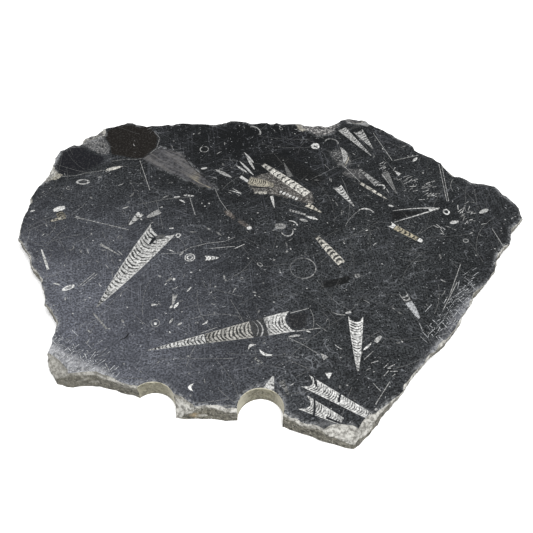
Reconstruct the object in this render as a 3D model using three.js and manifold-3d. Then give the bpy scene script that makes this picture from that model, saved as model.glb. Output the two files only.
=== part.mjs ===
// Orthoceras fossil slab: a sawn plate of black limestone with a polished top and a broken edge.
// Millimetres, +Z up. The origin is under the middle of the plate, on its flat underside.
import * as THREE from "three";
import { mergeVertices } from "three/addons/utils/BufferGeometryUtils.js";
import { ImprovedNoise } from "three/addons/math/ImprovedNoise.js";
import Module from "manifold-3d";

const wasm = await Module();
wasm.setup();
const perlin = new ImprovedNoise();

// Driving dimensions
const THICKNESS = 20;
const CORE_DIAMETER = 41;
const CORE_CENTRES = [[-106, -175.7], [-10.6, -182]];

// Broken edge: spacing of its points, its lumps and grain, and the strip worn off the polished rim
const EDGE_STEP = 6;
const WALL_HEIGHTS = [0, 3.5, 7, 10.5, 14, 17.5, THICKNESS];
const LUMP_DEPTH = 3.2;
const LUMP_SIZE = 19;
const GRAIN_DEPTH = 1.5;
const GRAIN_SIZE = 6.5;
const RIM_WEAR = 1.3;

// Small nicks along the polished rim: stations from one to the next, and the radius of their hollows
const NICK_SPACING = 10;
const NICK_RADIUS = 10;

// Outline seen from above, anticlockwise, one list for each side
const FRONT = [
  [-197, -146], [-182, -148], [-158, -147], [-137, -156], [-120, -160], [-108, -176], [-81, -182],
  [-66, -181], [-30, -183], [10, -190], [24, -196], [44, -205], [69, -210], [84, -196], [92, -187],
];
const FRONT_RIGHT = [
  [107, -175], [141, -131], [170, -103], [197, -57], [220, -34], [229, -13], [247, 14], [253, 28],
  [266, 45],
];
const BACK_RIGHT = [
  [265, 60], [246, 94], [221, 100], [201, 113], [192, 131], [165, 153], [163, 160], [129, 192], [108, 208],
];
const BACK = [
  [88, 210], [68, 196], [-48, 204], [-72, 198], [-105, 200], [-147, 195], [-171, 202], [-198, 192],
  [-217, 176],
];
const BACK_LEFT = [
  [-219, 165], [-243, 152], [-248, 124], [-250, 108], [-260, 87], [-261, 51], [-265, 31],
];
const FRONT_LEFT = [
  [-262, 15], [-251, 1], [-241, -21], [-231, -33], [-218, -68], [-203, -91], [-204, -114], [-207, -124],
  [-204, -136],
];

// How far the foot of the edge stands out past its rim on each side; a minus sign is an undercut
const SIDES = [
  { edge: FRONT, flare: 0 },
  { edge: FRONT_RIGHT, flare: -5.5 },
  { edge: BACK_RIGHT, flare: 1.5 },
  { edge: BACK, flare: 1.5 },
  { edge: BACK_LEFT, flare: 1.5 },
  { edge: FRONT_LEFT, flare: -2 },
];

// Flakes knocked off the edge: a point on the scar, the way the scar faces, and the radius of its hollow
const FLAKES = [
  { at: [-195, -141, 11], facing: [-0.55, -0.42, 0.72], radius: 45 },
  { at: [-77.5, -176, 11], facing: [-0.55, -0.69, 0.47], radius: 40 },
  { at: [61, -201, 13.5], facing: [-0.1, -0.72, 0.68], radius: 24 },
  { at: [80, -197, 12], facing: [0.62, -0.55, 0.56], radius: 32 },
  { at: [98, 204, 18.3], facing: [0.1, 0.2, 0.97], radius: 26 },
  { at: [-246, 112, 17], facing: [-0.45, 0.1, 0.88], radius: 26 },
  { at: [-202, 178, 18], facing: [-0.25, 0.3, 0.92], radius: 34 },
];

// Shallow hollows where the polished top broke away: their outline from above, and the dish they are cut to,
// turned anticlockwise in degrees
const HOLLOWS = [
  {
    outline: [
      [-147, 138], [-131, 125], [-102, 109], [-79, 93], [-60, 89], [-72, 105], [-88, 123], [-103, 147],
      [-128, 157],
    ],
    dish: { at: [-106, 122], length: 120, width: 62, depth: 1.7, turn: -35 },
  },
  {
    outline: [[32, 212], [38, 192], [54, 178], [71, 182], [80, 196], [84, 212]],
    dish: { at: [57, 204], length: 72, width: 66, depth: 3, turn: 0 },
  },
];

function noiseAt(point, size) {
  return perlin.noise(point.x / size + 40, point.y / size + 40, point.z / size + 40);
}

function solidFrom(geometry) {
  geometry.deleteAttribute("normal");
  geometry.deleteAttribute("uv");
  const merged = mergeVertices(geometry, 1e-4);
  const mesh = new wasm.Mesh({
    numProp: 3,
    vertProperties: new Float32Array(merged.attributes.position.array),
    triVerts: new Uint32Array(merged.index.array),
  });
  return new wasm.Manifold(mesh);
}

function geometryFrom(solid) {
  const mesh = solid.getMesh();
  const indexed = new THREE.BufferGeometry();
  indexed.setAttribute("position", new THREE.BufferAttribute(mesh.vertProperties, 3));
  indexed.setIndex(new THREE.BufferAttribute(mesh.triVerts, 1));
  const faceted = indexed.toNonIndexed();
  faceted.computeVertexNormals();
  return faceted;
}

// Evenly spaced stations round the outline, each with its outward direction and its flare.
function edgeStations() {
  const corners = SIDES.flatMap(({ edge, flare }) => edge.map(([x, y]) => ({ x, y, flare })));
  const stations = [];
  corners.forEach((from, index) => {
    const to = corners[(index + 1) % corners.length];
    const count = Math.max(1, Math.round(Math.hypot(to.x - from.x, to.y - from.y) / EDGE_STEP));
    for (let step = 0; step < count; step += 1) {
      const along = step / count;
      stations.push({
        x: THREE.MathUtils.lerp(from.x, to.x, along),
        y: THREE.MathUtils.lerp(from.y, to.y, along),
        flare: THREE.MathUtils.lerp(from.flare, to.flare, along),
      });
    }
  });
  stations.forEach((station, index) => {
    const before = stations.at(index - 1);
    const after = stations[(index + 1) % stations.length];
    station.outward = new THREE.Vector2(after.y - before.y, before.x - after.x).normalize();
  });
  return stations;
}

// One point of the broken edge: the outline moved out by flare, lumps and grain, less the worn rim.
function edgePoint(station, height) {
  const point = new THREE.Vector3(station.x, station.y, height);
  const lump = LUMP_DEPTH * noiseAt(point, LUMP_SIZE) + GRAIN_DEPTH * noiseAt(point, GRAIN_SIZE);
  const flare = station.flare * (1 - height / THICKNESS);
  const worn = height === THICKNESS ? RIM_WEAR * (1 + noiseAt(point, GRAIN_SIZE * 2)) : 0;
  const out = flare + lump - worn;
  point.x += station.outward.x * out;
  point.y += station.outward.y * out;
  return point;
}

function roughPlate() {
  const stations = edgeStations();
  const count = stations.length;
  const points = WALL_HEIGHTS.flatMap((height) => stations.map((station) => edgePoint(station, height)));
  const triangles = [];
  for (let level = 0; level + 1 < WALL_HEIGHTS.length; level += 1) {
    for (let index = 0; index < count; index += 1) {
      const next = (index + 1) % count;
      const low = level * count;
      const high = low + count;
      triangles.push(low + index, low + next, high + next);
      triangles.push(low + index, high + next, high + index);
    }
  }
  const top = points.length - count;
  for (const [a, b, c] of THREE.ShapeUtils.triangulateShape(points.slice(top), [])) {
    triangles.push(top + a, top + b, top + c);
  }
  for (const [a, b, c] of THREE.ShapeUtils.triangulateShape(points.slice(0, count), [])) {
    triangles.push(a, c, b);
  }
  const geometry = new THREE.BufferGeometry().setFromPoints(points);
  geometry.setIndex(triangles);
  return solidFrom(geometry);
}

function coreDrill([x, y]) {
  const bore = new THREE.CylinderGeometry(CORE_DIAMETER / 2, CORE_DIAMETER / 2, THICKNESS * 2, 72);
  bore.rotateX(Math.PI / 2);
  bore.translate(x, y, THICKNESS / 2);
  return solidFrom(bore);
}

// Pushes every point of a cutter along one direction by two sizes of noise.
function roughen(geometry, direction, depth) {
  const places = geometry.attributes.position;
  const point = new THREE.Vector3();
  for (let index = 0; index < places.count; index += 1) {
    point.fromBufferAttribute(places, index);
    const push = depth * (noiseAt(point, LUMP_SIZE * 0.6) + 0.5 * noiseAt(point, GRAIN_SIZE));
    point.addScaledVector(direction, push);
    places.setXYZ(index, point.x, point.y, point.z);
  }
  return geometry;
}

function flakeCutter({ at, facing, radius }) {
  const direction = new THREE.Vector3(...facing).normalize();
  const centre = new THREE.Vector3(...at).addScaledVector(direction, radius);
  const ball = new THREE.IcosahedronGeometry(radius, Math.round(3 + radius / 6));
  ball.translate(centre.x, centre.y, centre.z);
  return solidFrom(roughen(ball, direction, 1 + radius / 30));
}

// A squat ball that dips below the polished top by its depth; half its height lies above the rim.
function dishCutter({ at, length, width, depth, turn }) {
  const ball = new THREE.IcosahedronGeometry(1, Math.round(length / 7));
  const rimShare = Math.sqrt(0.75);
  ball.scale(length / 2 / rimShare, width / 2 / rimShare, depth * 2);
  ball.rotateZ(THREE.MathUtils.degToRad(turn));
  ball.translate(at[0], at[1], THICKNESS + depth);
  return solidFrom(roughen(ball, new THREE.Vector3(0, 0, 1), 1.1));
}

function hollowCutter({ outline, dish }) {
  const shape = new THREE.Shape(outline.map(([x, y]) => new THREE.Vector2(x, y)));
  const column = new THREE.ExtrudeGeometry(shape, { depth: THICKNESS * 2, bevelEnabled: false });
  return solidFrom(column).intersect(dishCutter(dish));
}

function rimNicks() {
  const places = edgeStations().filter((_, index) => index % NICK_SPACING === 0);
  return places.map(({ x, y, outward }) => {
    const shift = noiseAt(new THREE.Vector3(x, y, 0), LUMP_SIZE);
    const inset = 0.6 + 2 * shift;
    return flakeCutter({
      at: [x - outward.x * inset, y - outward.y * inset, THICKNESS - 1.6],
      facing: [outward.x * 0.6, outward.y * 0.6, 0.8],
      radius: NICK_RADIUS * (1 + 0.5 * shift),
    });
  });
}

function fossilSlab() {
  const cutters = [
    ...CORE_CENTRES.map(coreDrill),
    ...FLAKES.map(flakeCutter),
    ...rimNicks(),
    ...HOLLOWS.map(hollowCutter),
  ];
  const stone = new THREE.MeshStandardMaterial({ color: 0x45484c, roughness: 0.45 });
  const mesh = new THREE.Mesh(
    geometryFrom(cutters.reduce((plate, cutter) => plate.subtract(cutter), roughPlate())),
    stone,
  );
  mesh.name = "slab";
  return mesh;
}

const slab = new THREE.Group();
slab.name = "orthoceras_fossil_slab";
slab.add(fossilSlab());

export default slab;
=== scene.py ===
"""Orthoceras fossil slab in its studio. Blender works in metres; sizes here are in millimetres."""

import math
import random
from collections import namedtuple

import bmesh
import bpy
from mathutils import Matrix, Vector, noise
from mathutils.geometry import delaunay_2d_cdt, intersect_point_line
from mathutils.kdtree import KDTree


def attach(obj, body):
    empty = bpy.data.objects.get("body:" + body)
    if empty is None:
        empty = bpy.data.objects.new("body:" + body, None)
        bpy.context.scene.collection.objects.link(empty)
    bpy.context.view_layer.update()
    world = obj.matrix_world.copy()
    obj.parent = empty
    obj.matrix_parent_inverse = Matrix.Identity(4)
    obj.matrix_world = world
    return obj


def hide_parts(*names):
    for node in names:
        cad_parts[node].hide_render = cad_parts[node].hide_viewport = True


MM = 0.001

# The slab
THICKNESS = 20
CORE_RADIUS = 20.5
CORE_CENTRES = ((-106, -175.7), (-10.6, -182))
CORE_TOLERANCE = 0.06

# The surface: triangle size on broken stone, its grain, and the point spacing on the polished top
BROKEN_STEP = 2.0
GRAIN_DEPTH = 0.6
RIM_GRAIN = 0.2
GRAIN_SIZE = 5.0
TOP_STEP = 6.0
RIM_BAND = 30.0

# The camera stands where the photo was taken from
CAMERA_PLACE = (-5.5, -507.3, 598.4)
CAMERA_TILT = 40
CAMERA_LENS = 51

# Where the polished top broke away: middle and reach of each flat hollow
HOLLOWS = (((-104, 124), 62), ((57, 200), 36))

# The front left corner, from which the polish is scratched and a pale sheen of reflected light is painted
# into the top, and how far that reaches
SHEEN_AND_WEAR_CORNER = (-230, -150)
SHEEN_AND_WEAR_REACH = 305

# The middle of the painted shade at the back of the top, and three spots on the broken stone that differ
SHADED_BACK = (-20, 200, THICKNESS)
CRUMBLED_STRIP = (62, 197, 19)
TAN_TIP = (-72, 98, 19)
RUSTY_SPOT = (-69, -180, 7)

# Half the length and depth of the box strewn with fine marks, and of the one filled with points
STREWN = (268, 212)
FILLED = (270, 215)

# The flat layout: the corner of the slab's box, and the scale and start of the top and the underside
LAYOUT_CORNER = (-272, -214)
TOP_SCALE = 0.00157
TOP_START = (0.01, 0.01)
UNDERSIDE_SCALE = 0.0007
UNDERSIDE_START = (0.01, 0.69)

# Room left round a mark, so that its soft edge has space
ROOM = 0.6

# Kinds of mark on the polished top
SHELL = 1
RING = 2

POLISHED, BROKEN, DRILLED, SAWN = range(4)

Mark = namedtuple("Mark", "kind start end outline size bow form style")
Ground = namedtuple("Ground", "outline colour form")


# Marks


def shell(
    start,
    end,
    ends=(0.3, 0.3),
    swell=0.0,
    bend=0.0,
    notch=0.0,
    chambers=0,
    gap=0.42,
    fill=1.0,
    lean=0.0,
    tone=0.8,
    warmth=0.2,
):
    """A cone, tube, blade or line from start to end.

    Its half width runs from the first of ends to the second, with swell more in the middle, and it bows to
    the left by bend. The notch hollows out its far end. Gap is the dark share of each chamber, and lean
    widens it on the left.
    """
    start = Vector(start)
    end = Vector(end)
    length = (end - start).length
    along = (end - start) / length
    across = Vector((-along.y, along.x))
    steps = 8 if bend else 2 if swell else 1
    right = []
    left = []
    for step in range(steps + 1):
        share = step / steps
        arch = 4 * share * (1 - share)
        middle = start.lerp(end, share) + across * bend * arch + along * ROOM * (2 * share - 1)
        half = ends[0] + (ends[1] - ends[0]) * share + swell * arch + ROOM
        right.append(middle - across * half)
        left.append(middle + across * half)
    return Mark(
        SHELL,
        start,
        end,
        right + left[::-1],
        (length, *ends),
        (swell, bend, notch),
        (chambers, fill, lean),
        (tone, warmth, gap),
    )


def ring(centre, radii, turn=0, band=0.1, part=0.0, fill=0.0, tone=0.6, warmth=0.2):
    """A shell cut across: an ellipse with a band at its edge; part takes off its right side."""
    along = Vector((math.cos(math.radians(turn)), math.sin(math.radians(turn))))
    reach = along * radii[0]
    side = Vector((-along.y, along.x)) * (radii[1] + ROOM)
    centre = Vector(centre)
    start = centre - reach - along * ROOM
    end = centre + reach + along * ROOM
    return Mark(
        RING,
        centre - reach,
        centre + reach,
        [start - side, end - side, end + side, start + side],
        (2 * radii[0], radii[1], radii[1]),
        (band, part, fill),
        (0, 0, 0),
        (tone, warmth, 0),
    )


def ground(outline, colour, soft=1.5, ragged=0.0, speckle=0.3):
    """A stretch of other stone: how softly it starts, how ragged its edge is and how speckled it is."""
    return Ground([Vector(corner) for corner in outline], colour, (soft, ragged, speckle))


def path(points, **looks):
    """A line through several points."""
    return [shell(start, end, **looks) for start, end in zip(points, points[1:])]


def left_shell():
    """The broad cone on the left, with a dark pit and a grey hollow in its mouth."""
    return [
        shell((-168, -72.5), (-113.5, 29), (0.6, 15.5), 1.8, chambers=27, notch=0.08, lean=0.5, tone=0.67),
        shell((-120, 16), (-111, 20.5), (1.5, 1.5), swell=1.2, tone=0.12),
        shell((-125, 8), (-120.5, 17.5), (0.6, 0.8), swell=0.8, tone=0.0),
    ]


def long_shell():
    """The long cone in the middle: a dark joint near its mouth, and a faint tube drawn on beyond it."""
    tube = [
        shell((17, -101.5), (46, -97), (0.55, 0.35), tone=0.5),
        shell((15, -80.5), (35, -74), (0.55, 0.35), tone=0.4),
        shell((36, -75), (38, -97), bend=2, tone=0.28),
        shell((41, -92), (51, -101), tone=0.3),
        shell((47, -78), (52, -99), (0.25, 0.25), bend=4, tone=0.16),
        shell((56, -78), (69, -82), (0.3, 0.6), bend=-1, tone=0.35),
    ]
    cone = [
        shell((-114, -122), (-62, -109), (0.5, 5.4), chambers=16, gap=0.5, lean=0.3, tone=0.64),
        shell((-62, -109), (-19, -98.5), (5.4, 9.6), chambers=12, gap=0.55, tone=0.5, warmth=0.4),
        shell((-19, -98.5), (-6, -95.3), (9.6, 10.7), tone=0.05),
        shell((-14.5, -106), (-18.5, -89), (0.5, 0.4), bend=-3, tone=0.35),
        shell((-10.5, -106.5), (-15, -88), (0.8, 0.6), bend=-3.5, tone=0.5),
        shell((-6, -95.3), (19, -89), (10.7, 12), chambers=8, notch=0.24, lean=-0.2, tone=0.7),
    ]
    return tube + cone


def front_shells():
    """The upright cone at the front, and two cracked cones cut off by the front right corner."""
    return [
        shell((76.5, -144.5), (79, -83.5), (0.8, 7.2), 0.6, chambers=20, notch=0.11, lean=0.3, tone=0.78),
        shell((69.5, -80), (75, -78), (0.9, 1.5), tone=0.6),
        shell((85.5, -191), (28.5, -154), (3.4, 7.0), chambers=30, notch=0.11, tone=0.8),
        shell((36.5, -150), (38.5, -160), (0.2, 0.5), bend=0.5, tone=0.0),
        shell((60, -167), (57.5, -175.5), (0.2, 0.5), bend=-0.5, tone=0.0),
        shell((59, -194.5), (25.5, -175.5), (3.8, 8), chambers=17, notch=0.2, tone=0.7),
        shell((36, -173), (35, -189), (0.25, 0.6), bend=0.7, tone=0.0),
        shell((58, -196.5), (46, -191), (0.2, 0.6), tone=0.0),
    ]


def back_shells():
    """The cones and blades at the back right."""
    return [
        shell((114, 143), (83.5, 190), (0.6, 5.4), chambers=18, fill=0.9, tone=0.62),
        shell((117.5, 154), (102, 187), (0.5, 6.2), notch=0.06, chambers=10, tone=0.52),
        shell((88.5, 62), (72, 93), (0.6, 5.2), chambers=9, notch=0.06, tone=0.65),
        shell((98, 121), (119, 93), (1.5, 4.4), chambers=7, tone=0.36),
        ring((120, 91.5), (4.2, 5), turn=-50, band=0.25, part=1, tone=0.55),
        shell((97, 99), (126, 72), (1.8, 0.3), swell=0.9, chambers=5, tone=0.65, warmth=0.5),
        shell((136, 82), (126.5, 114), (0.6, 4.8), tone=0.2),
        shell((134, 86), (123.5, 112), (0.3, 0.9), tone=0.4),
        shell((138, 117.5), (143, 111.5), (0.3, 2.6), tone=0.85),
        shell((80, 157), (82, 131), (0.8, 0.8), swell=2.2, bend=3, tone=0.5),
        shell((82, 126), (88, 141), (0.4, 0.6), bend=-1, tone=0.6, warmth=0.7),
        ring((51, 159.5), (4, 4.4), band=0.45, fill=0.75, tone=0.8),
        shell((50, 160), (53, 158), (0.5, 0.5), bend=-0.8, tone=0.0),
    ]


def open_shell():
    """The open shell at the right: two thin arms that meet in a thick tip, with a small ring by it."""
    return [
        shell((177, 59.5), (129, 55.5), (0.9, 0.25), bend=-1.5, tone=0.7),
        shell((178, 58.5), (129, 39), (1.0, 0.3), tone=0.7),
        shell((180, 60), (168, 56), (0.3, 1.9), tone=0.75),
        ring((186, 54), (3.4, 4), band=0.3, tone=0.8),
    ]


def tan_shells():
    """The warm shells: a tube and a row in the brown stone, loose ones by the left edge, tan tubes."""
    row = [(9 + 3.4 * step, 85 - 2.1 * step) for step in range(6)]
    return [
        shell((14, 132), (21, 108), (0.3, 3.6), tone=0.16),
        shell((-10, 129), (39, 80.5), (2.6, 5.0), swell=0.9, chambers=11, tone=0.78, warmth=0.4),
        *(shell((x, y), (x + 2.2, y - 1.6), (1.3, 1.3), swell=0.8, tone=0.85) for x, y in row),
        shell((3, 94), (-25, 102), (2.5, 5), swell=2, chambers=12, lean=-0.4, tone=0.5, warmth=0.8),
        shell((-2, 91), (-24, 93), (0.4, 0.6), swell=0.4, bend=1, tone=0.0),
        shell((-20, 83), (-4, 83), (1, 1.6), swell=1, chambers=3, tone=0.55, warmth=0.5),
        shell((-233, 56), (-221, 61), (1.6, 1.6), swell=2, tone=0.85),
        shell((-227, 54), (-219, 43), (2.5, 2), swell=2, chambers=4, gap=0.6, tone=0.25, warmth=0.8),
        shell((-234, 40), (-222, 45), (0.6, 1.4), swell=1, chambers=3, tone=0.5, warmth=0.7),
        shell((53, 53), (38, 65), (0.8, 3.6), chambers=4, tone=0.65, warmth=0.6),
        shell((46, 19), (70, -18), (2.2, 4.4), swell=0.7, chambers=8, gap=0.5, tone=0.68, warmth=0.5),
        shell((153.5, 12.5), (125, 34.5), (2.6, 3.6), chambers=8, tone=0.5, warmth=1.0),
        shell((128.5, 32), (123, 36.5), (3, 3.8), notch=0.45, tone=0.9),
        shell((155, 11.5), (151, 14.5), (1.4, 2.4), swell=0.5, tone=0.9),
    ]


def blades():
    """Slender shells and splinters between the large ones."""
    return [
        shell((-53, -10.5), (-68, -11), (0.3, 3), swell=0.8, chambers=4, notch=0.1, tone=0.8),
        shell((-167, 125.5), (-185, 119), (0.2, 1.4), swell=1.6, tone=0.75, warmth=0.4),
        shell((-150, 34), (-139, 52), (0.8, 3.8), swell=0.5, chambers=3, tone=0.62),
        shell((-132, 46), (-119, 55), (1.2, 3.2), swell=1, tone=0.4),
        shell((-235, 1), (-223, -26), (0.6, 1.1), swell=0.3, tone=0.7),
        shell((-26, 30), (-21, 31), (1.2, 1.2), swell=1, tone=0.9),
        shell((-38, 2), (-28, 8), (0.4, 0.5), tone=0.6),
        shell((-106, 76), (-99, 77), (0.5, 0.3), swell=0.6, tone=0.6),
        shell((-96, 79), (-84, 78), (0.6, 0.4), swell=0.8, chambers=3, tone=0.6),
        shell((-107, 30), (-102.5, 30.5), swell=0.7, tone=0.9),
        shell((-63, 120), (-44, 107), (0.3, 0.3), swell=2.0, tone=0.42),
        shell((-79, 121), (-72, 123), (0.6, 0.4), swell=1.2, tone=0.7),
        shell((-34.5, 108.5), (-25, 100), (2.2, 1.6), tone=0.75),
        shell((-43, 90), (-33, 82), (0.2, 0.9), tone=0.7),
        shell((-47, 87), (-33, 82), (0.2, 0.9), tone=0.7),
        shell((0, 78), (3, 60), (1.7, 0.2), swell=0.3, tone=0.8),
        shell((18, 57), (36, 50), (1.8, 1.3), chambers=6, tone=0.42),
        shell((36, 48), (49, 42.5), (0.2, 0.2), swell=1.5, tone=0.85),
        shell((29, 43.5), (38, 40), (0.2, 0.2), swell=1.6, tone=0.45),
        shell((18, 41), (27, 34), (0.5, 0.8), bend=2.2, tone=0.7),
        shell((77, 33), (100, 61), (0.25, 0.35), bend=3, tone=0.35),
        shell((93, 57), (109, 53), (0.4, 0.3), swell=0.7, bend=3.5, tone=0.7),
        shell((125, 64), (131, 62), (0.5, 0.3), swell=1.2, tone=0.6),
        shell((187, 37.5), (197, 40.5), (0.5, 0.5), swell=1.9, tone=0.6),
        shell((221, 52), (231, 58), (0.8, 1.2), swell=1.6, tone=0.55),
        shell((160, 133), (166, 140), (0.2, 0.2), swell=1.6, tone=0.7),
        shell((83, -122), (91, -114.5), (0.2, 0.2), swell=0.9, tone=0.85),
        shell((95, -113), (101, -106), (1.6, 0.8), swell=0.9, tone=0.5),
        shell((50, -152), (50, -146), (0.4, 3.4), tone=0.8),
        shell((44, -125.5), (48.5, -131), (0.4, 2.8), tone=0.45),
        shell((14, -169), (7.5, -154), (1, 3), chambers=5, tone=0.2),
        shell((-4.5, -166), (0.5, -149.5), (6, 0.8), chambers=2, gap=0.3, lean=-0.3, tone=0.65),
        shell((139, -86), (131, -66), (1.0, 3.4), swell=0.9, tone=0.5, warmth=0.0),
        shell((131, -66), (126.5, -55), (3.4, 4.0), notch=0.4, chambers=3, gap=0.6, tone=0.45),
        shell((81, -35), (87, -33), (1.6, 1.6), swell=1, chambers=2, tone=0.3),
        shell((-96, -73), (-94, -56.5), (0.3, 2.6), notch=0.1, tone=0.45),
        shell((-94, -74), (-90, -67), (0.3, 0.3), swell=1.2, tone=0.8),
        shell((-98, -74), (-95, -70), (0.3, 0.3), swell=0.9, tone=0.7),
        shell((-99, -38), (-95, -38.5), swell=1.3, tone=0.85),
        shell((-105, -42), (-99, -37), (0.3, 1.6), tone=0.3),
        shell((-116, -70), (-109.5, -69.5), (1.6, 0.3), tone=0.6),
        shell((-83, -54), (-79, -48), swell=0.5, tone=0.65),
        shell((-66, -93), (-61, -88), (0.3, 0.3), swell=0.6, bend=-1.2, tone=0.75),
        shell((-97, -92), (-94, -86), (0.3, 0.3), swell=0.8, tone=0.5),
        shell((-89, -94), (-85, -91), (0.3, 0.3), swell=0.7, tone=0.6),
        shell((-67, -103), (-51, -96), (0.3, 0.3), tone=0.45),
        shell((15, -107), (26, -105), (0.4, 0.4), swell=0.8, tone=0.5),
        shell((-70, -157), (-70, -165), (0.3, 0.3), swell=1.3, bend=-3.2, tone=0.95),
        shell((-22, -121), (-15, -116), (0.3, 0.3), swell=1.0, bend=2.4, tone=0.75),
        shell((-12, -121), (0, -127), (0.3, 0.4), swell=1.1, bend=-2.6, tone=0.8),
        shell((-17, -130), (-9, -136), (1.2, 1.0), chambers=3, tone=0.3),
        shell((-141, -110), (-134, -103), (0.4, 0.9), bend=-2, tone=0.0),
    ]


def feather():
    """A sheaf of narrow blades by the back edge."""
    ends = [
        ((-31, 149), (-20, 131)), ((-28, 141), (-19, 120)), ((-36, 134), (-20, 111)),
        ((-40, 127), (-27, 115)),
    ]
    return [shell(start, end, (0.2, 0.4), swell=1.0, tone=0.65) for start, end in ends]


def rounds():
    """Shells cut across, and rings."""
    return [
        ring((31, -24), (15.5, 15), turn=-90, band=0.04, part=0.6, tone=0.3),
        ring((16, 26), (7, 8), turn=200, band=0.12, part=1, tone=0.4),
        ring((9, 33), (5, 3.6), band=0.5, fill=0.5, tone=0.3),
        ring((-83, -10), (5.8, 5.6), band=0.12, fill=0.2, tone=0.6),
        ring((-83, -10), (3, 2.8), band=0.3, tone=0.65),
        ring((-97, 20), (2.4, 2.8), band=0.35, tone=0.6),
        ring((-77, 154), (5.6, 5.6), band=0.12, tone=0.35),
        ring((-208, 100), (7.5, 4), band=0.22, fill=0.05, tone=0.5),
        ring((-110, -91.5), (4.4, 5), band=0.1, tone=0.25),
        ring((-110, -92), (1.1, 1.3), band=0.6, fill=0.9, tone=0.8),
        ring((-199, -49), (6, 2.6), turn=28, band=0.3, fill=0.35, tone=0.8),
        ring((-19, 187), (10, 6), turn=-55, band=0.16, part=1, tone=0.4),
        ring((70, 166), (9, 7), turn=-20, band=0.12, part=1, tone=0.3),
    ]


def lines():
    """Thin pale lines: cracks healed with calcite, thin shells cut lengthwise, and a painted highlight
    along the edge of the back lens.
    """
    ends = [
        ((-209, 46), (-175, 36)), ((-190, -48), (-176, -30)), ((-89, 77), (-81, 49)),
        ((-186, -47), (-173, -31)), ((-157, -1), (-151, -7)), ((-189, 3), (-186, -5)),
        ((189, 129), (189, 70)), ((192, 129), (191, 70)), ((120, 182), (137, 135)),
        ((139, 135), (168, 144)), ((230, 30), (237, 4)), ((104, -155), (89, -178)),
        ((189, -19), (170, -63)), ((182, -42), (163, -76)), ((-151, -136), (-147, -143)),
        ((98, 100), (80, 128)), ((83, -132), (92, -123)), ((89, -157), (95, -165)),
        ((-149, 135), (-133, 87)), ((-64, 2), (-38, 5)),
    ]
    # A pale line along the front and right edge of the back lens: a painted highlight where that edge
    # catches the light.
    lens_edge_highlight = [(-181, 134), (-165, 137), (-152, 137), (-144, 139), (-132, 156), (-130, 174), (-138, 186)]
    return [
        *(shell(start, end, (0.35, 0.4), tone=0.45) for start, end in ends),
        *path([(-208, 48), (-197, 43), (-171, 35), (-149, 28)], ends=(0.4, 0.4), tone=0.5),
        *path([(-111, -5), (-93, -4), (-84, 3), (-67, 9), (-48, 12), (-38, 18)], tone=0.45),
        *path([(-239, 108), (-218, 110), (-205, 115), (-184, 119)], tone=0.4),
        *path(lens_edge_highlight, tone=0.35),
        *path([(-71, 97), (-62, 90), (-56, 72), (-46, 54)], tone=0.4),
        *path([(-144, 65), (-115, 73), (-84, 77)], tone=0.22),
        *path([(15, -108), (30, -117), (43, -127)], tone=0.4),
        *path([(16, -133), (34, -143), (21, -150)], tone=0.16),
        shell((-176, 8), (-154, -7), (1.5, 0.4), tone=0.35),
        shell((-170, -80), (-155, -98), (0.8, 1.1), tone=0.3),
        shell((201, 104), (198, 85), bend=-2.5, tone=0.35),
        shell((60, 128), (66, 119), (0.3, 0.3), tone=0.3),
    ]


def hatching():
    """Groups of short dashes side by side at the right, where thin shells lie stacked."""
    dice = random.Random(2)
    marks = []
    groups = [
        (126, 124, 55, 9), (149, 104, 35, 9), (152, 92, 30, 9), (172, 93, 25, 12), (172, 77, 30, 11),
        (206, 56, 70, 12), (210, 46, 10, 12), (178, 32, -40, 9), (100, -140, 40, 9),
    ]
    for x, y, turn, count in groups:
        for _ in range(count):
            middle = Vector((x + dice.gauss(0, 5), y + dice.gauss(0, 5)))
            angle = math.radians(turn + dice.gauss(0, 18))
            half = Vector((math.cos(angle), math.sin(angle))) * dice.uniform(1.2, 4)
            marks.append(shell(middle - half, middle + half, (0.3, 0.4), tone=dice.uniform(0.35, 0.8)))
    return marks


def scuffs():
    """Scratches on the rubbed corner at the front left and along the rubbed edge at the right."""
    dice = random.Random(8)
    marks = []
    stretches = [
        (Vector((-205, -115)), Vector((-147, -148)), 220),
        (Vector((148, -106)), Vector((198, -42)), 140),
    ]
    for start, end, count in stretches:
        for _ in range(count):
            middle = start.lerp(end, dice.random()) + Vector((dice.gauss(0, 6), dice.gauss(0, 8)))
            angle = math.radians(dice.choice((35, 42, 50, 120)) + dice.gauss(0, 10))
            half = Vector((math.cos(angle), math.sin(angle))) * dice.uniform(1, 6)
            tone = dice.uniform(0.2, 0.7)
            marks.append(shell(middle - half, middle + half, (0.2, 0.4), tone=tone, warmth=0.0))
    return marks


def strewn_spot(dice):
    return Vector([dice.uniform(-reach, reach) for reach in STREWN])


def debris(count=520, hairlines=240, seed=11):
    """Fine splinters, bits of bent shell and long hairlines, which stand out more by the worn front left
    corner.
    """
    dice = random.Random(seed)
    marks = []
    for index in range(count + hairlines):
        centre = strewn_spot(dice)
        turn = dice.uniform(0, math.tau)
        is_hairline = index >= count
        length = dice.uniform(10, 75) if is_hairline else 1.5 + 7 * dice.random() ** 2.5
        half = Vector((math.cos(turn), math.sin(turn))) * length / 2
        swell = 0 if is_hairline else 0.15 + 0.9 * dice.random() ** 2
        bow = dice.gauss(0, 0.08) * length
        tone = dice.uniform(0.08, 0.28) if is_hairline else 0.15 + 0.6 * dice.random() ** 2
        tone += 0.25 * max(0, 1 - (centre - Vector(SHEEN_AND_WEAR_CORNER)).length / SHEEN_AND_WEAR_REACH)
        marks.append(shell(centre - half, centre + half, (0.15, 0.2), swell=swell, bend=bow, tone=tone))
    for _ in range(count // 14):
        centre = strewn_spot(dice)
        radius = dice.uniform(1.2, 3.6)
        size = (radius, radius * dice.uniform(0.5, 1))
        turn = dice.uniform(0, 360)
        marks.append(ring(centre, size, turn, 0.2, part=dice.choice((0, 1)), tone=dice.uniform(0.15, 0.4)))
    return marks


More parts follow.
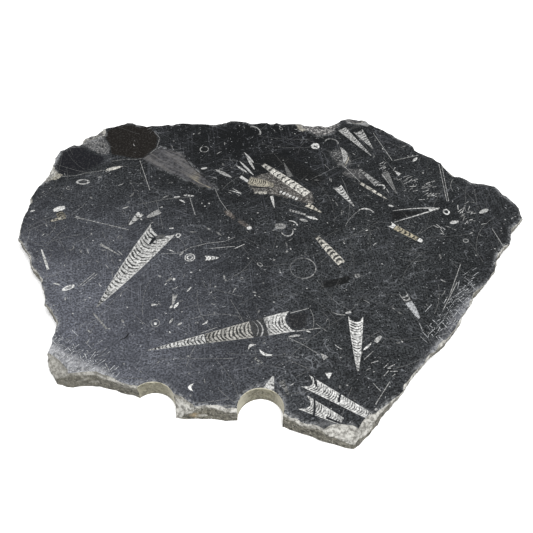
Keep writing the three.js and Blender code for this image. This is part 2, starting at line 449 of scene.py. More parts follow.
def grounds():
    """The other kinds of stone in the top: dark lenses, brown sediment, and rubbed and weathered places."""
    back_lens = [
        (-204, 174), (-190, 190), (-170, 206), (-147, 200), (-136, 184), (-131, 174), (-132, 157),
        (-144, 139), (-152, 137), (-170, 141), (-184, 145), (-188, 159),
    ]
    left_lens = [
        (-248, 118), (-248, 152), (-222, 164), (-205, 151), (-190, 145), (-183, 133), (-206, 115),
        (-218, 109), (-236, 109),
    ]
    brown = [
        (-26, 108), (-12, 113), (2, 118), (14, 110), (30, 98), (46, 84), (47, 66), (36, 65), (22, 71),
        (8, 76), (-6, 80), (-22, 84), (-28, 96),
    ]
    rubbed_edge = [
        (84, -205), (141, -150), (215, -60), (244, -10), (226, -18), (196, -40), (172, -64), (146, -104),
        (98, -172),
    ]
    between_lenses = [
        (-228, 168), (-206, 188), (-198, 182), (-186, 162), (-183, 147), (-192, 142), (-206, 150),
        (-218, 160),
    ]
    dark_hollow = [
        (-20, 132), (-2, 152), (26, 142), (52, 122), (66, 104), (50, 84), (44, 92), (28, 100), (10, 116),
        (0, 126),
    ]
    rubbed_corner = [
        (-222, -98), (-204, -102), (-188, -116), (-164, -130), (-138, -140), (-148, -160), (-215, -155),
    ]
    pale_smear = [(60, 152), (74, 160), (92, 152), (96, 128), (84, 116), (70, 126)]
    tube_filling = [(13, -104), (34, -99), (38, -76), (12, -78)]
    open_shell_filling = [(174, 58.5), (126, 56), (125, 40), (135, 41)]
    dark_bar = [(46, -52), (50, -41), (78, -32), (82, -42)]
    left_lens_rim = [(-250, 118), (-250, 155), (-224, 172), (-222, 164), (-238, 152), (-241, 128)]
    weathered_left = [(-256, 122), (-240, 119), (-231, 110), (-236, 103), (-258, 98)]
    brown_trail = [(-53, 56), (-46, 58), (-36, 48), (-20, 32), (-24, 27), (-38, 40), (-50, 50)]
    grey_haze = [(74, 112), (86, 126), (104, 122), (118, 108), (106, 100), (88, 103)]
    back_tip = [(84, 214), (112, 214), (124, 200), (114, 193), (100, 199), (90, 198)]
    weathered_back = [(26, 206), (40, 206), (44, 186), (38, 182), (30, 190)]
    return [
        ground(back_lens, (0.0095, 0.008, 0.007), soft=3, ragged=1.2, speckle=0.12),
        ground(left_lens, (0.008, 0.0085, 0.011), soft=6, ragged=2, speckle=0.12),
        ground(left_lens_rim, (0.15, 0.155, 0.165), soft=4, ragged=2),
        ground(between_lenses, (0.115, 0.116, 0.12), soft=3, ragged=3, speckle=1.0),
        ground(weathered_left, (0.36, 0.34, 0.28), soft=2, ragged=4, speckle=1.0),
        ground(dark_hollow, (0.007, 0.0075, 0.008), soft=10, speckle=0.1),
        ground(pale_smear, (0.07, 0.072, 0.075), soft=8, ragged=4, speckle=1.0),
        ground(tube_filling, (0.013, 0.0135, 0.015), soft=5, ragged=3, speckle=0.2),
        ground(open_shell_filling, (0.007, 0.0075, 0.008), soft=4, ragged=1, speckle=0.1),
        ground(dark_bar, (0.007, 0.0075, 0.008), soft=2.5, ragged=1, speckle=0.1),
        ground(brown, (0.082, 0.076, 0.07), soft=3, ragged=3, speckle=1.0),
        ground(brown_trail, (0.1, 0.085, 0.075), soft=2.5, ragged=2, speckle=0.8),
        ground(grey_haze, (0.06, 0.06, 0.062), soft=6, ragged=2, speckle=0.7),
        ground(rubbed_corner, (0.31, 0.315, 0.335), soft=11, ragged=5, speckle=0.9),
        ground(rubbed_edge, (0.16, 0.166, 0.19), soft=16, ragged=8, speckle=1.0),
        ground(back_tip, (0.2, 0.2, 0.2), soft=3, ragged=2, speckle=0.7),
        ground(weathered_back, (0.36, 0.34, 0.29), soft=3, ragged=2, speckle=0.8),
    ]


def all_marks():
    """Every mark, those on top last."""
    return [
        *debris(),
        *hatching(),
        *scuffs(),
        *lines(),
        *rounds(),
        *blades(),
        *feather(),
        *open_shell(),
        *tan_shells(),
        *back_shells(),
        *front_shells(),
        *long_shell(),
        *left_shell(),
    ]


# The slab's mesh


def is_drilled(point):
    """Whether a point, in millimetres, lies on one of the round drill cuts."""
    gaps = [abs((point.to_2d() - Vector(centre)).length - CORE_RADIUS) for centre in CORE_CENTRES]
    return min(gaps) < CORE_TOLERANCE


def is_hollow(point):
    """Whether a point, in millimetres, lies in one of the flat hollows."""
    near = any((point.to_2d() - Vector(middle)).length < reach for middle, reach in HOLLOWS)
    return near and point.z > THICKNESS * 0.8


def lies_under(edge):
    return all(face.normal.z < -0.99 for face in edge.link_faces)


def grain(point, size):
    return noise.fractal(point / size, 0.9, 2.1, 4)


def rough_sides(node):
    """The CAD slab without its polished top, in millimetres, cut finer and given the grain of the stone."""
    stone = bmesh.new()
    stone.from_mesh(node.data)
    steep = stone.verts.layers.float.new("steep")
    stone.verts.layers.float.new("inward")
    stone.loops.layers.float_vector.new("mark_place")
    stone.loops.layers.float.new("ground_depth")
    for name in ("mark_size", "mark_bow", "mark_form", "mark_style", "ground_colour", "ground_form"):
        stone.faces.layers.float_vector.new(name)
    stone.transform(node.matrix_world)
    bmesh.ops.scale(stone, vec=(1 / MM,) * 3, verts=stone.verts)
    bmesh.ops.remove_doubles(stone, verts=stone.verts, dist=0.002)
    top = [face for face in stone.faces if min(v.co.z for v in face.verts) > THICKNESS - 0.002]
    bmesh.ops.delete(stone, geom=top, context="FACES")
    for limit in (BROKEN_STEP * 1.6, BROKEN_STEP):
        coarse = [edge for edge in stone.edges if edge.calc_length() > limit and not lies_under(edge)]
        bmesh.ops.subdivide_edges(stone, edges=coarse, cuts=1)
        bmesh.ops.triangulate(stone, faces=stone.faces)
    stone.normal_update()
    moves = []
    for vertex in stone.verts:
        vertex[steep] = 0 if is_hollow(vertex.co) else 1 - abs(vertex.normal.z)
        on_rim = vertex.is_boundary or vertex.co.z < 0.01
        depth = 0 if is_drilled(vertex.co) else RIM_GRAIN if on_rim else GRAIN_DEPTH
        moves.append((vertex, on_rim, vertex.normal * depth * grain(vertex.co, GRAIN_SIZE)))
    for vertex, on_rim, move in moves:
        vertex.co.x += move.x
        vertex.co.y += move.y
        if not on_rim:
            vertex.co.z = min(max(vertex.co.z + move.z, 0.02), THICKNESS - 0.02)
    return stone


def rim_loops(stone):
    """The closed loops of vertices where the polished top is missing."""
    waiting = dict.fromkeys(vertex for vertex in stone.verts if vertex.is_boundary)
    loops = []
    while waiting:
        vertex = next(iter(waiting))
        loop = []
        while vertex:
            waiting.pop(vertex)
            loop.append(vertex)
            ends = [edge.other_vert(vertex) for edge in vertex.link_edges if edge.is_boundary]
            vertex = next((end for end in ends if end in waiting), None)
        loops.append(loop)
    return loops


def turned_left(points):
    """Whether a loop of points runs anticlockwise."""
    pairs = zip(points, points[1:] + points[:1])
    return sum(a.cross(b) for a, b in pairs) > 0


def top_triangles(loops, areas):
    """Cuts the polished top along its rim and round every ground and mark.

    Returns the points, the triangles with the areas they lie in, and the rim vertex each point came from.
    """
    points = [vertex.co.to_2d() for loop in loops for vertex in loop]
    rim_count = len(points)
    faces = []
    for loop in loops:
        first = sum(len(face) for face in faces)
        face = list(range(first, first + len(loop)))
        faces.append(face if turned_left([points[index] for index in face]) else face[::-1])
    for area in areas:
        corners = area.outline if turned_left(area.outline) else area.outline[::-1]
        faces.append(list(range(len(points), len(points) + len(corners))))
        points.extend(corners)
    dice = random.Random(3)
    for column in range(int(2 * FILLED[0] / TOP_STEP)):
        for row in range(int(2 * FILLED[1] / TOP_STEP)):
            shift = Vector((dice.random(), dice.random()))
            points.append((Vector((column, row)) + shift) * TOP_STEP - Vector(FILLED))
    places, _, triangles, sources, _, origins = delaunay_2d_cdt(points, [], faces, 1, 0.001)
    kept = []
    for triangle, origin in zip(triangles, origins):
        rims = [index for index in origin if index < len(loops)]
        if len(rims) % 2:
            kept.append((triangle, sorted(index - len(loops) for index in origin if index >= len(loops))))
    rim_sources = [next((index for index in source if index < rim_count), None) for source in sources]
    return places, kept, rim_sources


def split_rim(stone, places, triangles, vertices):
    """Adds the points where an outline crosses the rim to the broken edge below, so that no gap is left."""
    after = {}
    painted_side_light = {(t[i - 1], t[i]) for t, _ in triangles for i in range(3)}
    for a, b in painted_side_light:
        if (b, a) not in painted_side_light:
            after[a] = b
    for start in [a for a in after if vertices[a]]:
        last = vertices[start]
        index = after[start]
        chain = []
        while not vertices[index]:
            chain.append(index)
            index = after[index]
        edge = stone.edges.get((last, vertices[index])) if chain else None
        for inner in chain:
            place = places[inner].to_3d() + Vector((0, 0, THICKNESS))
            share = (place - last.co).length / edge.calc_length()
            _, added = bmesh.utils.edge_split(edge, last, share)
            added.co = place
            vertices[inner] = added
            edge = stone.edges.get((added, vertices[index]))
            last = added


def distance_to(outline, point):
    """How far a point lies from a closed outline."""
    gaps = []
    for start, end in zip(outline, outline[1:] + outline[:1]):
        nearest, share = intersect_point_line(point, start, end)
        if not 0 < share < 1:
            nearest = start if share <= 0 else end
        gaps.append((Vector(nearest).to_2d() - point).length)
    return min(gaps)


def name_stone(stone):
    """Gives each face of the sides and the underside its material."""
    for face in stone.faces:
        face.smooth = True
        if face.normal.z < -0.99 and face.calc_center_median().z < 0.01:
            face.material_index = SAWN
        elif all(is_drilled(vertex.co) for vertex in face.verts):
            face.material_index = DRILLED
        else:
            face.material_index = BROKEN


def lay_mark(stone, face, mark):
    """Writes on a triangle which mark it belongs to and where on it each corner lies."""
    layers = stone.faces.layers.float_vector
    face[layers["mark_size"]] = mark.size
    face[layers["mark_bow"]] = mark.bow
    face[layers["mark_form"]] = mark.form
    face[layers["mark_style"]] = mark.style
    place = stone.loops.layers.float_vector["mark_place"]
    along = (mark.end - mark.start).normalized()
    for corner in face.loops:
        offset = corner.vert.co.to_2d() - mark.start
        corner[place] = (offset.dot(along), along.cross(offset), mark.kind)


def lay_ground(stone, face, area):
    """Writes on a triangle which ground it belongs to and how far inside it each corner lies."""
    layers = stone.faces.layers.float_vector
    face[layers["ground_colour"]] = area.colour
    face[layers["ground_form"]] = area.form
    depth = stone.loops.layers.float["ground_depth"]
    for corner in face.loops:
        corner[depth] = 1 + distance_to(area.outline, corner.vert.co.to_2d())


def close_top(stone, areas):
    """Adds the polished top to the broken stone, each triangle knowing its ground and its mark."""
    loops = rim_loops(stone)
    rim = [vertex for loop in loops for vertex in loop]
    places, triangles, rim_sources = top_triangles(loops, areas)
    vertices = {index: None if source is None else rim[source] for index, source in enumerate(rim_sources)}
    nearest = KDTree(len(rim))
    for index, vertex in enumerate(rim):
        nearest.insert(vertex.co, index)
    nearest.balance()
    split_rim(stone, places, triangles, vertices)
    name_stone(stone)
    inward = stone.verts.layers.float["inward"]
    for corners, found in triangles:
        for index in corners:
            if vertices[index] is None:
                vertices[index] = stone.verts.new(places[index].to_3d() + Vector((0, 0, THICKNESS)))
                vertices[index][inward] = min(nearest.find(vertices[index].co)[2] / RIM_BAND, 1)
        face = stone.faces.new([vertices[index] for index in corners])
        face.material_index = POLISHED
        for index in found:
            if isinstance(areas[index], Ground):
                lay_ground(stone, face, areas[index])
            else:
                lay_mark(stone, face, areas[index])


def flat_spot(point, start, scale):
    """Where a point of the top or the underside lies on the flat layout."""
    across = start[0] + (point.x - LAYOUT_CORNER[0]) * scale
    return across, start[1] + (point.y - LAYOUT_CORNER[1]) * scale


def edge_spot(point, turn):
    """Where a point of the broken edge lies on the flat layout: one of three strips, by its face's turn."""
    strip = min(int((turn / math.tau + 0.5) * 3), 2)
    apart = math.remainder(math.atan2(point.y, point.x) - turn, math.tau)
    along = ((turn + apart) / math.tau + 0.5) * 3 - strip
    return 0.87 + 0.042 * strip + 0.036 * point.z / THICKNESS, 0.03 + 0.93 * along


def drill_spot(point):
    """Where a point of a drill cut lies on the flat layout."""
    gaps = [(point.to_2d() - Vector(centre)).length for centre in CORE_CENTRES]
    number = gaps.index(min(gaps))
    offset = point.to_2d() - Vector(CORE_CENTRES[number])
    turn = (math.atan2(offset.y, offset.x) + math.pi / 2) % math.tau
    return 0.41 + 0.42 * turn / math.tau, 0.7 + 0.08 * number + 0.06 * point.z / THICKNESS


def lay_flat(stone):
    """A flat layout of the whole surface, with most of its room for the top."""
    layout = stone.loops.layers.uv.new("OFBake")
    for face in stone.faces:
        middle = face.calc_center_median()
        turn = math.atan2(middle.y, middle.x)
        for corner in face.loops:
            point = corner.vert.co
            if face.material_index == SAWN:
                spot = flat_spot(point, UNDERSIDE_START, UNDERSIDE_SCALE)
            elif face.material_index == DRILLED:
                spot = drill_spot(point)
            elif face.normal.z > 0.35:
                spot = flat_spot(point, TOP_START, TOP_SCALE)
            else:
                spot = edge_spot(point, turn)
            corner[layout].uv = spot


def slab_piece(node):
    """The whole slab as one closed mesh, in place of the CAD slab."""
    stone = rough_sides(node)
    close_top(stone, grounds() + all_marks())
    bmesh.ops.recalc_face_normals(stone, faces=stone.faces)
    lay_flat(stone)
    bmesh.ops.scale(stone, vec=(MM,) * 3, verts=stone.verts)
    mesh = bpy.data.meshes.new("fossil_slab")
    stone.to_mesh(mesh)
    stone.free()
    mesh.set_sharp_from_angle(angle=math.radians(50))
    for material in (polished_stone(), broken_stone(), drilled_stone(), sawn_stone()):
        mesh.materials.append(material)
    piece = bpy.data.objects.new("fossil_slab", mesh)
    bpy.context.scene.collection.objects.link(piece)
    return piece


# Materials


class Signal:
    """A number made by shader nodes. Arithmetic on it adds the math nodes."""

    def __init__(self, shader, socket):
        self.shader = shader
        self.socket = socket

    def __add__(self, other):
        return self.shader.math("ADD", self, other)

    def __sub__(self, other):
        return self.shader.math("SUBTRACT", self, other)

    def __rsub__(self, other):
        return self.shader.math("SUBTRACT", other, self)

    def __mul__(self, other):
        return self.shader.math("MULTIPLY", self, other)

    def __truediv__(self, other):
        return self.shader.math("DIVIDE", self, other)

    def __abs__(self):
        return self.shader.math("ABSOLUTE", self)

    __radd__ = __add__
    __rmul__ = __mul__


class Shader:
    """A material, and short ways to add nodes to it."""

    def __init__(self, name):
        self.material = bpy.data.materials.new(name)
        self.material.use_nodes = True
        self.tree = self.material.node_tree
        self.surface = self.tree.nodes["Principled BSDF"]

    def feed(self, socket, value):
        if isinstance(value, Signal):
            self.tree.links.new(value.socket, socket)
        else:
            socket.default_value = value

    def add(self, node_type, inputs, output=0, **settings):
        node = self.tree.nodes.new(node_type)
        for name, value in settings.items():
            setattr(node, name, value)
        for key, value in inputs.items():
            self.feed(node.inputs[key], value)
        return Signal(self, node.outputs[output])

    def math(self, operation, *values):
        return self.add("ShaderNodeMath", dict(enumerate(values)), operation=operation)

    def larger(self, first, second):
        return self.math("MAXIMUM", first, second)

    def ramp(self, value, low, high):
        """0 below low, 1 above high, and smooth between."""
        inputs = {"Value": value, "From Min": low, "From Max": high}
        return self.add("ShaderNodeMapRange", inputs, interpolation_type="SMOOTHSTEP")

    def mix(self, share, first, second):
        return self.add("ShaderNodeMix", {0: share, 6: first, 7: second}, output=2, data_type="RGBA")

    def place(self):
        """The spot on the slab, in millimetres."""
        spot = self.add("ShaderNodeTexCoord", {}, output="Object")
        return self.add("ShaderNodeVectorMath", {0: spot, "Scale": 1 / MM}, operation="SCALE")

    def distance(self, spot, place):
        return self.add("ShaderNodeVectorMath", {0: spot, 1: place}, output="Value", operation="DISTANCE")

    def noise(self, place, size, detail=3.0, roughness=0.55):
        inputs = {"Vector": place, "Scale": 1 / size, "Detail": detail, "Roughness": roughness}
        return self.add("ShaderNodeTexNoise", inputs)

    def streaks(self, place, turn, length, width):
        """Noise drawn out along one direction."""
        inputs = {
            "Vector": place,
            "Rotation": (0, 0, math.radians(turn)),
            "Scale": (length, width, length),
        }
        drawn = self.add("ShaderNodeMapping", inputs, vector_type="TEXTURE")
        return self.add("ShaderNodeTexNoise", {"Vector": drawn, "Scale": 1.0, "Detail": 1.0})

    def parts(self, vector):
        node = self.tree.nodes.new("ShaderNodeSeparateXYZ")
        self.tree.links.new(vector.socket, node.inputs[0])
        return [Signal(self, output) for output in node.outputs]

    def attribute(self, name, output="Vector"):
        return self.add("ShaderNodeAttribute", {}, output=output, attribute_name=name)

    def bump(self, height, depth):
        """Small relief; height runs from 0 to 1 over depth millimetres."""
        inputs = {"Height": height, "Strength": 1.0, "Distance": depth * MM}
        self.feed(self.surface.inputs["Normal"], self.add("ShaderNodeBump", inputs, "Normal"))


def shell_mark(shader, spot, along, across):
    """Cover and brightness of a cone, blade or line, with the dark gaps between its chambers."""
    length, first, last = shader.parts(shader.attribute("mark_size"))
    swell, bend, notch = shader.parts(shader.attribute("mark_bow"))
    chambers, fill, lean = shader.parts(shader.attribute("mark_form"))
    share = along / length
    arch = 4 * share * (1 - share)
    half = shader.larger(first + (last - first) * share + swell * arch, 0.05)
    side = (across - bend * arch) / half
    dish = side * side
    mouth = length - length * notch * (1 - dish)
    cover = shader.ramp(half * (1 - abs(side)), -0.12, 0.2)
    cover = cover * shader.ramp(along, -0.1, 0.25) * shader.ramp(mouth - along, -0.1, 0.3)
    number = (along - half * dish * 0.5) * chambers / length + (shader.noise(spot, 7.0) - 0.5)
    phase = 2 * abs(shader.math("FRACT", number) - 0.5)
    gap_share = shader.parts(shader.attribute("mark_style"))[2]
    start = 1 - gap_share - 0.35 * lean * side + 1.8 * (shader.noise(spot, 4.5) - 0.5)
    chambered = shader.math("MINIMUM", chambers, 1.0)
    gap = shader.ramp(phase - start, 0.0, 0.22) * chambered
    chamber = shader.math("FLOOR", number)
    tint = shader.add("ShaderNodeTexWhiteNoise", {"W": chamber}, noise_dimensions="1D")
    tip = 1 - 0.35 * chambered * shader.ramp(share, 0.3, 0.0)
    full = (0.7 + 0.3 * tint) * tip * (1 - 0.92 * gap)
    wall = 0.7 * tip * chambered * shader.ramp(abs(side), 0.8, 0.93)
    bright = shader.larger(fill * full + (1 - fill) * gap, wall)
    return cover, bright


def ring_mark(shader, spot, along, across):
    """Cover of a shell cut across."""
    length, half, _ = shader.parts(shader.attribute("mark_size"))
    band, part, fill = shader.parts(shader.attribute("mark_bow"))
    x = 2 * along / length - 1
    y = across / half
    reach = shader.math("SQRT", x * x + y * y)
    edge = 1 - shader.ramp(abs(reach - 0.85), band * 0.5, band)
    gap = shader.ramp(y, -0.3, 0.3) * part + (1 - part)
    broken = shader.ramp(shader.noise(spot, 2.5), 0.3, 0.5)
    inside = fill * shader.ramp(0.85 - reach, 0.0, 0.1)
    return shader.larger(edge * gap * broken, inside)


def with_marks(shader, spot, stone):
    """The stone's colour with the mark of this triangle drawn on it."""
    wobble = shader.noise(spot, 1.4) - 0.5
    along, across, kind = shader.parts(shader.attribute("mark_place"))
    along = along + 0.6 * wobble
    across = across + 0.5 * wobble
    tone, warmth, _ = shader.parts(shader.attribute("mark_style"))
    shell_cover, shell_bright = shell_mark(shader, spot, along, across)
    is_shell = shader.math("COMPARE", kind, SHELL, 0.3)
    is_ring = shader.math("COMPARE", kind, RING, 0.3)
    cover = is_shell * shell_cover + is_ring * ring_mark(shader, spot, along, across)
    bright = is_shell * shell_bright + is_ring
    crystals = shader.ramp(shader.noise(spot, 2.0, detail=3.0, roughness=0.65), 0.38, 0.6)
    light = tone * bright * (0.3 + 0.7 * crystals)
    calcite = shader.mix(warmth, (0.88, 0.9, 0.92, 1), (0.8, 0.72, 0.53, 1))
    shade = shader.mix(light, (0.01, 0.011, 0.012, 1), calcite)
    return shader.mix(cover, stone, shade)


def with_grounds(shader, spot, stone):
    """The stone's colour with the ground of this triangle over it."""
    colour = shader.attribute("ground_colour", "Color")
    soft, ragged, speckle = shader.parts(shader.attribute("ground_form"))
    depth = shader.attribute("ground_depth", "Fac")
    torn = ragged * 3 * (shader.noise(spot, 5.0, detail=5.0, roughness=0.65) - 0.38)
    cover = shader.ramp((depth - torn) / shader.larger(soft, 0.1), 0.2, 1.0)
    cover = cover * shader.ramp(depth, 0.1, 0.9)
    grains = shader.ramp(shader.noise(spot, 2.2, detail=4.0, roughness=0.7), 0.36, 0.62)
    patches = shader.ramp(shader.noise(spot, 9.0, detail=4.0), 0.36, 0.6)
    dull = shader.mix(speckle * (0.95 - 0.5 * grains - 0.4 * patches), colour, (0.012, 0.0125, 0.013, 1))
    bright = shader.mix(speckle * 0.25 * shader.ramp(grains, 0.7, 1.0), dull, (0.6, 0.59, 0.56, 1))
    return shader.mix(cover, stone, bright)


def black_limestone(shader, spot):
    """Black stone with clouds, fine mottling, scratches, thin veins and pale grains; greyer at the front
    left, partly wear and partly a painted sheen of reflected light, and darker at the back middle, which is
    painted shade.
    """
    cloud = shader.ramp(shader.noise(spot, 45.0), 0.35, 0.65)
    # Painted sheen: the stone turns paler and bluer towards the front left corner, standing for reflected
    # light there as well as for worn, scratched polish.
    sheen_and_wear = shader.ramp(shader.distance(spot, (*SHEEN_AND_WEAR_CORNER, THICKNESS)), SHEEN_AND_WEAR_REACH, 40.0)
    # Painted shade: the top darkens towards the middle of its back.
    back_shade = shader.ramp(shader.distance(spot, SHADED_BACK), 230.0, 40.0)
    mottle = shader.ramp(shader.noise(spot, 1.8, detail=3.0, roughness=0.6), 0.38, 0.64)
    blotches = shader.ramp(shader.noise(spot, 8.0, detail=2.0), 0.36, 0.62)
    dark = shader.mix(sheen_and_wear, (0.005, 0.0055, 0.006, 1), (0.034, 0.036, 0.043, 1))
    pale = shader.mix(sheen_and_wear, (0.048, 0.052, 0.055, 1), (0.125, 0.132, 0.157, 1))
    share = (0.35 + 0.35 * cloud + 0.3 * blotches) * (1 - 0.85 * back_shade)
    stone = shader.mix(share * mottle, dark, pale)
    worn = shader.ramp(shader.noise(spot, 35.0), 0.35, 0.65)
    scratches = 0.0
    for turn, length, width in ((12, 60, 0.8), (38, 80, 0.7), (97, 50, 0.8), (151, 70, 0.8)):
        scratches = scratches + shader.ramp(shader.streaks(spot, turn, length, width), 0.62, 0.76)
    stone = shader.mix((0.15 + 0.25 * sheen_and_wear) * scratches * worn, stone, (0.28, 0.29, 0.33, 1))
    for size, width in ((16.0, 0.016), (34.0, 0.007)):
        wave = shader.noise(spot, size, detail=2.0)
        vein = 1 - shader.ramp(abs(wave - 0.5), 0.0, width)
        patchy = shader.ramp(shader.noise(spot, size * 1.3 + 3, detail=4.0, roughness=0.7), 0.5, 0.64)
        stone = shader.mix(0.35 * vein * patchy, stone, (0.24, 0.25, 0.27, 1))
    grains = shader.ramp(shader.noise(spot, 2.1, detail=3.0, roughness=0.6), 0.65, 0.74)
    return shader.mix(0.8 * grains, stone, (0.36, 0.37, 0.38, 1))


def polished_stone():
    shader = Shader("polished_limestone")
    spot = shader.place()
    stone = with_grounds(shader, spot, black_limestone(shader, spot))
    rim = 1 - shader.ramp(shader.attribute("inward", "Fac"), 0.0, 0.16)
    patchy = shader.ramp(shader.noise(spot, 28.0), 0.42, 0.6)
    scuffs = rim * patchy * shader.ramp(shader.noise(spot, 2.4, detail=4.0, roughness=0.7), 0.42, 0.6)
    stone = shader.mix(0.5 * scuffs, stone, (0.4, 0.41, 0.42, 1))
    shader.feed(shader.surface.inputs["Base Color"], with_marks(shader, spot, stone))
    shader.feed(shader.surface.inputs["Roughness"], 0.3 + 0.12 * shader.noise(spot, 4.0) + 0.2 * scuffs)
    shader.feed(shader.surface.inputs["Specular IOR Level"], 0.15)
    return shader.material


def broken_stone():
    """Fresh breaks: dusty on the edge, paler on chips, grey in the hollows; steep walls take the darker
    edge colour, partly as painted shade.

    By the front left corner the broken stone is darkened with painted shade, and a spot between the drill
    cuts is rusty.
    """
    shader = Shader("broken_limestone")
    spot = shader.place()
    height = shader.parts(spot)[2]
    steep = shader.attribute("steep", "Fac")
    coarse = shader.noise(spot, 3.5, detail=6.0, roughness=0.7)
    fine = shader.noise(spot, 2.0, detail=4.0, roughness=0.7)
    edge = shader.mix(shader.ramp(coarse, 0.38, 0.62), (0.02, 0.018, 0.011, 1), (0.145, 0.137, 0.108, 1))
    edge = shader.mix(0.65 * shader.ramp(fine, 0.54, 0.66), edge, (0.42, 0.405, 0.35, 1))
    chip = shader.mix(shader.ramp(coarse, 0.38, 0.62), (0.13, 0.126, 0.112, 1), (0.47, 0.462, 0.43, 1))
    # Faces turned up take the paler chip colour and steep walls the darker edge colour: partly the stone's
    # own colours, partly painted shade on the walls.
    chips_and_wall_shade = shader.ramp(steep + 0.3 * (coarse - 0.5), 0.8, 0.55)
    by_rim = 0.6 * shader.ramp(height + 9 * (coarse - 0.5), 15.0, 20.0)
    dusty_and_wall_shade = shader.mix(shader.larger(chips_and_wall_shade, by_rim), edge, chip)
    stripes = shader.ramp(shader.streaks(spot, -35, 30, 2.5), 0.42, 0.62)
    grey = shader.mix(shader.ramp(coarse, 0.38, 0.62), (0.014, 0.014, 0.016, 1), (0.06, 0.06, 0.065, 1))
    grey = shader.mix(0.25 * stripes, grey, (0.2, 0.19, 0.18, 1))
    crumbled = shader.ramp(shader.distance(spot, CRUMBLED_STRIP), 40.0, 20.0)
    crumbled = crumbled * shader.ramp(coarse, 0.5, 0.6)
    grey = shader.mix(0.8 * crumbled, grey, (0.4, 0.39, 0.37, 1))
    tan_tip = shader.ramp(shader.distance(spot, TAN_TIP), 28.0, 8.0)
    grey = shader.mix(0.7 * tan_tip * stripes, grey, (0.27, 0.24, 0.17, 1))
    broken = shader.mix(shader.ramp(steep + 0.1 * (coarse - 0.5), 0.04, 0.14), grey, dusty_and_wall_shade)
    # Painted shade: the broken stone darkens towards the front left corner.
    front_left_shade = shader.ramp(shader.distance(spot, (*SHEEN_AND_WEAR_CORNER, 0)), 130.0, 60.0)
    broken = shader.mix(0.42 * front_left_shade, broken, (0.1, 0.094, 0.076, 1))
    rusty = shader.ramp(shader.distance(spot, RUSTY_SPOT) + 12 * (coarse - 0.5), 6.0, 1.0)
    broken = shader.mix(0.5 * rusty, broken, (0.36, 0.26, 0.13, 1))
    shader.feed(shader.surface.inputs["Base Color"], broken)
    shader.feed(shader.surface.inputs["Roughness"], 0.85)
    shader.bump(coarse + 0.3 * fine, 0.7)
    return shader.material


def drilled_stone():
    """The drill cuts: ground stone with a soft grain, paler at the rim, and with painted light making them
    paler on both sides.
    """
    shader = Shader("drilled_limestone")
    spot = shader.place()
    coarse = shader.noise(spot, 5.0, detail=4.0)
    fine = shader.ramp(shader.noise(spot, 2.0, detail=4.0, roughness=0.7), 0.4, 0.64)
    stone = shader.mix(shader.ramp(coarse, 0.38, 0.62), (0.07, 0.064, 0.04, 1), (0.17, 0.16, 0.11, 1))
    stone = shader.mix(0.4 * fine, stone, (0.35, 0.335, 0.265, 1))
    # Painted light: the cut turns paler where it faces to either side, as if lit from there.
    facing = shader.add("ShaderNodeNewGeometry", {}, output="Normal")
    painted_side_light = 0.7 * shader.ramp(abs(shader.parts(facing)[0]), 0.45, 0.9)
    rim = 0.8 * shader.ramp(shader.parts(spot)[2] + 4 * (coarse - 0.5), 17.8, 19.8)
    stone = shader.mix(shader.larger(painted_side_light, rim), stone, (0.5, 0.475, 0.38, 1))
    shader.feed(shader.surface.inputs["Base Color"], stone)
    shader.feed(shader.surface.inputs["Roughness"], 0.8)
    shader.bump(fine, 0.15)
    return shader.material


def sawn_stone():
    """The underside: matt sawn stone with straight saw lines."""
    shader = Shader("sawn_limestone")
    spot = shader.place()
    lines = shader.streaks(spot, 8, 220, 1.6)
    cloud = shader.noise(spot, 25.0, detail=4.0)
    grey = shader.mix(shader.ramp(cloud, 0.3, 0.7), (0.07, 0.071, 0.073, 1), (0.13, 0.13, 0.128, 1))
    shader.feed(shader.surface.inputs["Base Color"], shader.mix(0.35 * lines, grey, (0.24, 0.24, 0.235, 1)))
    shader.feed(shader.surface.inputs["Roughness"], 0.8)
    shader.bump(lines, 0.2)
    return shader.material


# Studio


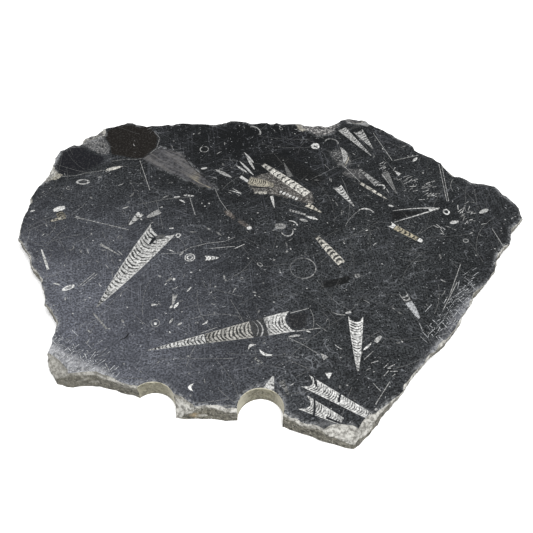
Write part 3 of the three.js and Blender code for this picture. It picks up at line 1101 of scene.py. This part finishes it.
def floor():
    mesh = bpy.data.meshes.new("floor")
    reach = 6
    corners = [(-reach, -reach, 0), (reach, -reach, 0), (reach, reach, 0), (-reach, reach, 0)]
    mesh.from_pydata(corners, [], [(0, 1, 2, 3)])
    shader = Shader("floor")
    shader.feed(shader.surface.inputs["Base Color"], (0.95, 0.95, 0.95, 1))
    shader.feed(shader.surface.inputs["Roughness"], 0.9)
    mesh.materials.append(shader.material)
    plane = bpy.data.objects.new("floor", mesh)
    bpy.context.scene.collection.objects.link(plane)
    return plane


def softbox(name, place, size, power):
    """A soft light at place, in metres, aimed at the slab."""
    light = bpy.data.lights.new(name, "AREA")
    light.shape = "RECTANGLE"
    light.size, light.size_y = size
    light.energy = power
    lamp = bpy.data.objects.new(name, light)
    lamp.location = place
    lamp.rotation_euler = (-Vector(place)).to_track_quat("-Z", "Y").to_euler()
    bpy.context.scene.collection.objects.link(lamp)
    return lamp


def studio():
    world = bpy.data.worlds.new("studio")
    world.use_nodes = True
    world.node_tree.nodes["Background"].inputs["Color"].default_value = (1, 1, 1, 1)
    world.node_tree.nodes["Background"].inputs["Strength"].default_value = 0.2
    bpy.context.scene.world = world
    softbox("haze_light", (-1.2, 0.7, 2.2), (1.1, 1.0), 6)
    softbox("top_light", (0.3, -0.75, 2.1), (1.3, 1.3), 82)
    bpy.context.scene.view_settings.view_transform = "Standard"


def camera():
    lens = bpy.data.cameras.new("camera")
    lens.lens = CAMERA_LENS
    lens.sensor_width = 36
    eye = bpy.data.objects.new("camera", lens)
    eye.location = Vector(CAMERA_PLACE) * MM
    eye.rotation_euler = (math.radians(CAMERA_TILT), 0, 0)
    bpy.context.scene.collection.objects.link(eye)
    bpy.context.scene.camera = eye


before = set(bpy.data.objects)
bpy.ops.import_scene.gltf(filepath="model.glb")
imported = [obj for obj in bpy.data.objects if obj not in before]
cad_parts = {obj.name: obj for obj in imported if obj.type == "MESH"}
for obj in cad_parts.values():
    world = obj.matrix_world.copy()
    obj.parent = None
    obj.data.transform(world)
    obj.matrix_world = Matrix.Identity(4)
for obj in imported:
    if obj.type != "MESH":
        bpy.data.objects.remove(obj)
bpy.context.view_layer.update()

slab = slab_piece(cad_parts["slab"])
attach(slab, "root")
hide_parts("slab")
floor()
studio()
camera()
